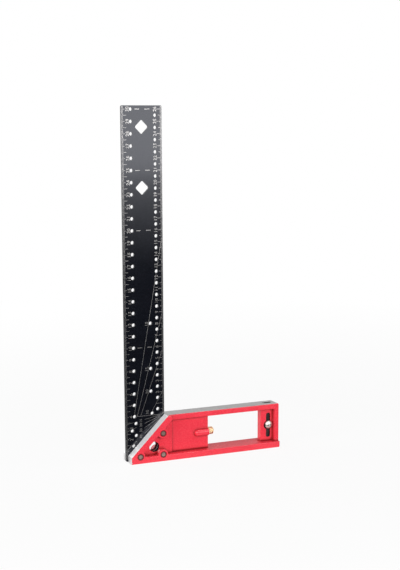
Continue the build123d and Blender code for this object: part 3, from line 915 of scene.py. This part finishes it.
def turnedHandle():
    mesh = bmesh.new()
    axisZ = (handleHigh.z + handleLow.z) / 2
    count = brassHandle["segments"]
    rings = []
    for along, radius, knurled in handleProfile():
        if radius == 0.0:
            rings.append([mesh.verts.new((along, 0.0, axisZ))])
            continue
        ring = []
        for index in range(count):
            angle = 2 * math.pi * index / count
            reach = radius - knurled * knurlCut(angle, along - handleHigh.x)
            ring.append(mesh.verts.new((along, reach * math.cos(angle), axisZ + reach * math.sin(angle))))
        rings.append(ring)
    for first, second in zip(rings, rings[1:]):
        joinRings(mesh, first, second)
    bmesh.ops.recalc_face_normals(mesh, faces=mesh.faces)
    for face in mesh.faces:
        face.smooth = True
    for edge in mesh.edges:
        if len(edge.link_faces) == 2 and edge.calc_face_angle() > math.radians(brassHandle["sharpAngle"]):
            edge.smooth = False
    piece = meshPiece("scriber_handle_turned", mesh, brassFinish, "scriber")
    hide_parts("scriber_handle")
    return piece


turnedHandle()
print("scriber handle made")


def shorteningSpring():
    # the coil on the bar, copied from the CAD spring into a piece of its own
    mesh = bmesh.new()
    mesh.from_mesh(nodes["brake_spring"].data)
    piece = meshPiece("brake_spring_coil", mesh, springFinish, "ledge")
    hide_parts("brake_spring")
    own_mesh(piece)


shorteningSpring()
print("brake spring made")


studio = {
    "white": (1.0, 1.0, 1.0, 1.0),
    "ambient": 0.20,                # what the white room gives to the object
    "floorSize": 16.0,
    "floorDrop": 0.1 * millimetre,
    "floorShadow": 0.09,            # how much of the floor's shading shows near the object
    "floorFade": (0.25, 0.95),      # metres from the object over which that goes
    "floorTones": ((0.86, 0.86, 0.86, 1.0), (0.88, 0.88, 0.88, 1.0)),
    "cardRise": 1.5,                # how late a card's level rises from its lower edge
}
softboxes = {                       # place, aim, width, height and watts
    "keySoftbox": ((0.30, -0.90, 0.36), (0.0, 0.0, 0.36), 0.8, 0.32, 3.4),
    "lowSoftbox": ((-0.30, -1.10, 0.30), (0.0, 0.0, 0.12), 0.7, 0.5, 4.2),
    "leftSoftbox": ((-1.00, -0.45, 0.38), (0.0, 0.0, 0.08), 0.7, 0.6, 6.0),
    "topSoftbox": ((0.42, -0.20, 0.95), (0.0, 0.0, 0.03), 0.24, 0.12, 1.3),
    "backSoftbox": ((-0.85, 0.95, 0.55), (0.0, 0.0, 0.10), 0.8, 0.8, 4.6),
    "rearSoftbox": ((0.0, 1.15, 0.20), (0.0, 0.0, 0.10), 0.4, 0.36, 2.8),
}
cards = {                           # levels at the lower and upper edge, centre, width and height vectors
    "tableCard": ((0.02, 0.02), (0.25, -0.46, 0.001), (1.3, 0, 0), (0, 0.86, 0)),
    "fallOffCard": ((0.02, 2.5), (0.30, -0.90, 0.125), (1.1, 0.37, 0), (0, 0, 0.15)),
    "underCard": ((0.02, 0.02), (0.30, -0.90, 0.025), (1.1, 0.37, 0), (0, 0, 0.05)),
    "greyLeftCard": ((0.4, 0.4), (-0.55, 0.65, 0.001), (0.9, 0, 0), (0, 1.2, 0)),
    "greyRearCard": ((0.3, 0.3), (0.60, 1.0, 0.20), (1.2, -0.4, 0), (0, 0, 0.34)),
}


def seenDirectly(tree):
    # camera, mirror and see-through rays get the plain white background
    path = addNode(tree, "ShaderNodeLightPath").outputs
    seen = calc(tree, "MAXIMUM", path["Is Camera Ray"], path["Is Glossy Ray"])
    return calc(tree, "MAXIMUM", seen, path["Is Transmission Ray"])


def whiteRoom():
    world = bpy.data.worlds.new("whiteRoom")
    world.use_nodes = True
    tree = world.node_tree
    background = tree.nodes["Background"]
    background.inputs["Color"].default_value = studio["white"]
    strength = ramp(tree, seenDirectly(tree), 0.0, 1.0, studio["ambient"], 1.0)
    tree.links.new(strength, background.inputs["Strength"])
    bpy.context.scene.world = world


def floorMaterial():
    material, tree, shader = newMaterial("paleFloor", {"Roughness": 0.9, "Specular IOR Level": 0.1})
    drift = noiseAt(tree, objectPlace(tree), 3.0)
    connect(tree, shader, colour=blendColour(tree, drift, *studio["floorTones"]))
    glow = addNode(tree, "ShaderNodeEmission", {"Color": studio["white"], "Strength": 1.0})
    away = vectorCalc(tree, "LENGTH", objectPlace(tree))
    keep = ramp(tree, away, *studio["floorFade"], 1 - studio["floorShadow"], 1.0)
    share = calc(tree, "MULTIPLY", seenDirectly(tree), keep)
    both = addNode(tree, "ShaderNodeMixShader", {0: share, 1: shader.outputs[0], 2: glow.outputs[0]})
    tree.links.new(both.outputs[0], tree.nodes["Material Output"].inputs["Surface"])
    return material


def addPlane(name, centre, acrossVector, upVector, material):
    mesh = bmesh.new()
    across, up = Vector(acrossVector) / 2, Vector(upVector) / 2
    corners = [mesh.verts.new(Vector(centre) + a * across + b * up)
               for a, b in ((-1, -1), (1, -1), (1, 1), (-1, 1))]
    mesh.faces.new(corners)
    data = bpy.data.meshes.new(name)
    mesh.to_mesh(data)
    mesh.free()
    plane = bpy.data.objects.new(name, data)
    bpy.context.scene.collection.objects.link(plane)
    data.materials.append(material)
    return plane


def addCard(name, levels, centre, acrossVector, upVector):
    # a studio card that only shows in reflections, its level rising from its lower edge
    material = bpy.data.materials.new(name)
    material.use_nodes = True
    tree = material.node_tree
    tree.nodes.remove(tree.nodes["Principled BSDF"])
    up = addNode(tree, "ShaderNodeSeparateXYZ", {0: objectPlace(tree)}).outputs["Z"]
    low = centre[2] - abs(upVector[2]) / 2
    share = ramp(tree, up, low, low + max(abs(upVector[2]), 0.001))
    level = ramp(tree, calc(tree, "POWER", share, studio["cardRise"]), 0.0, 1.0, *levels)
    glow = addNode(tree, "ShaderNodeEmission", {"Color": studio["white"], "Strength": level})
    tree.links.new(glow.outputs[0], tree.nodes["Material Output"].inputs["Surface"])
    card = addPlane(name, centre, acrossVector, upVector, material)
    card.visible_camera = False
    card.visible_diffuse = False
    card.visible_shadow = False
    card.visible_transmission = False
    return card


def softbox(name, centre, target, width, height, watts):
    light = bpy.data.lights.new(name, "AREA")
    light.shape = "RECTANGLE"
    light.size = width
    light.size_y = height
    light.energy = watts
    lamp = bpy.data.objects.new(name, light)
    lamp.location = centre
    lamp.rotation_euler = (Vector(target) - Vector(centre)).to_track_quat("-Z", "Y").to_euler()
    bpy.context.scene.collection.objects.link(lamp)


whiteRoom()
floorCentre = (0, 0, stockLow.z - studio["floorDrop"])
addPlane("floor", floorCentre, (studio["floorSize"], 0, 0), (0, studio["floorSize"], 0), floorMaterial())
for name, settings in softboxes.items():
    softbox(name, *settings)
for name, settings in cards.items():
    addCard(name, *settings)
print("studio ready")
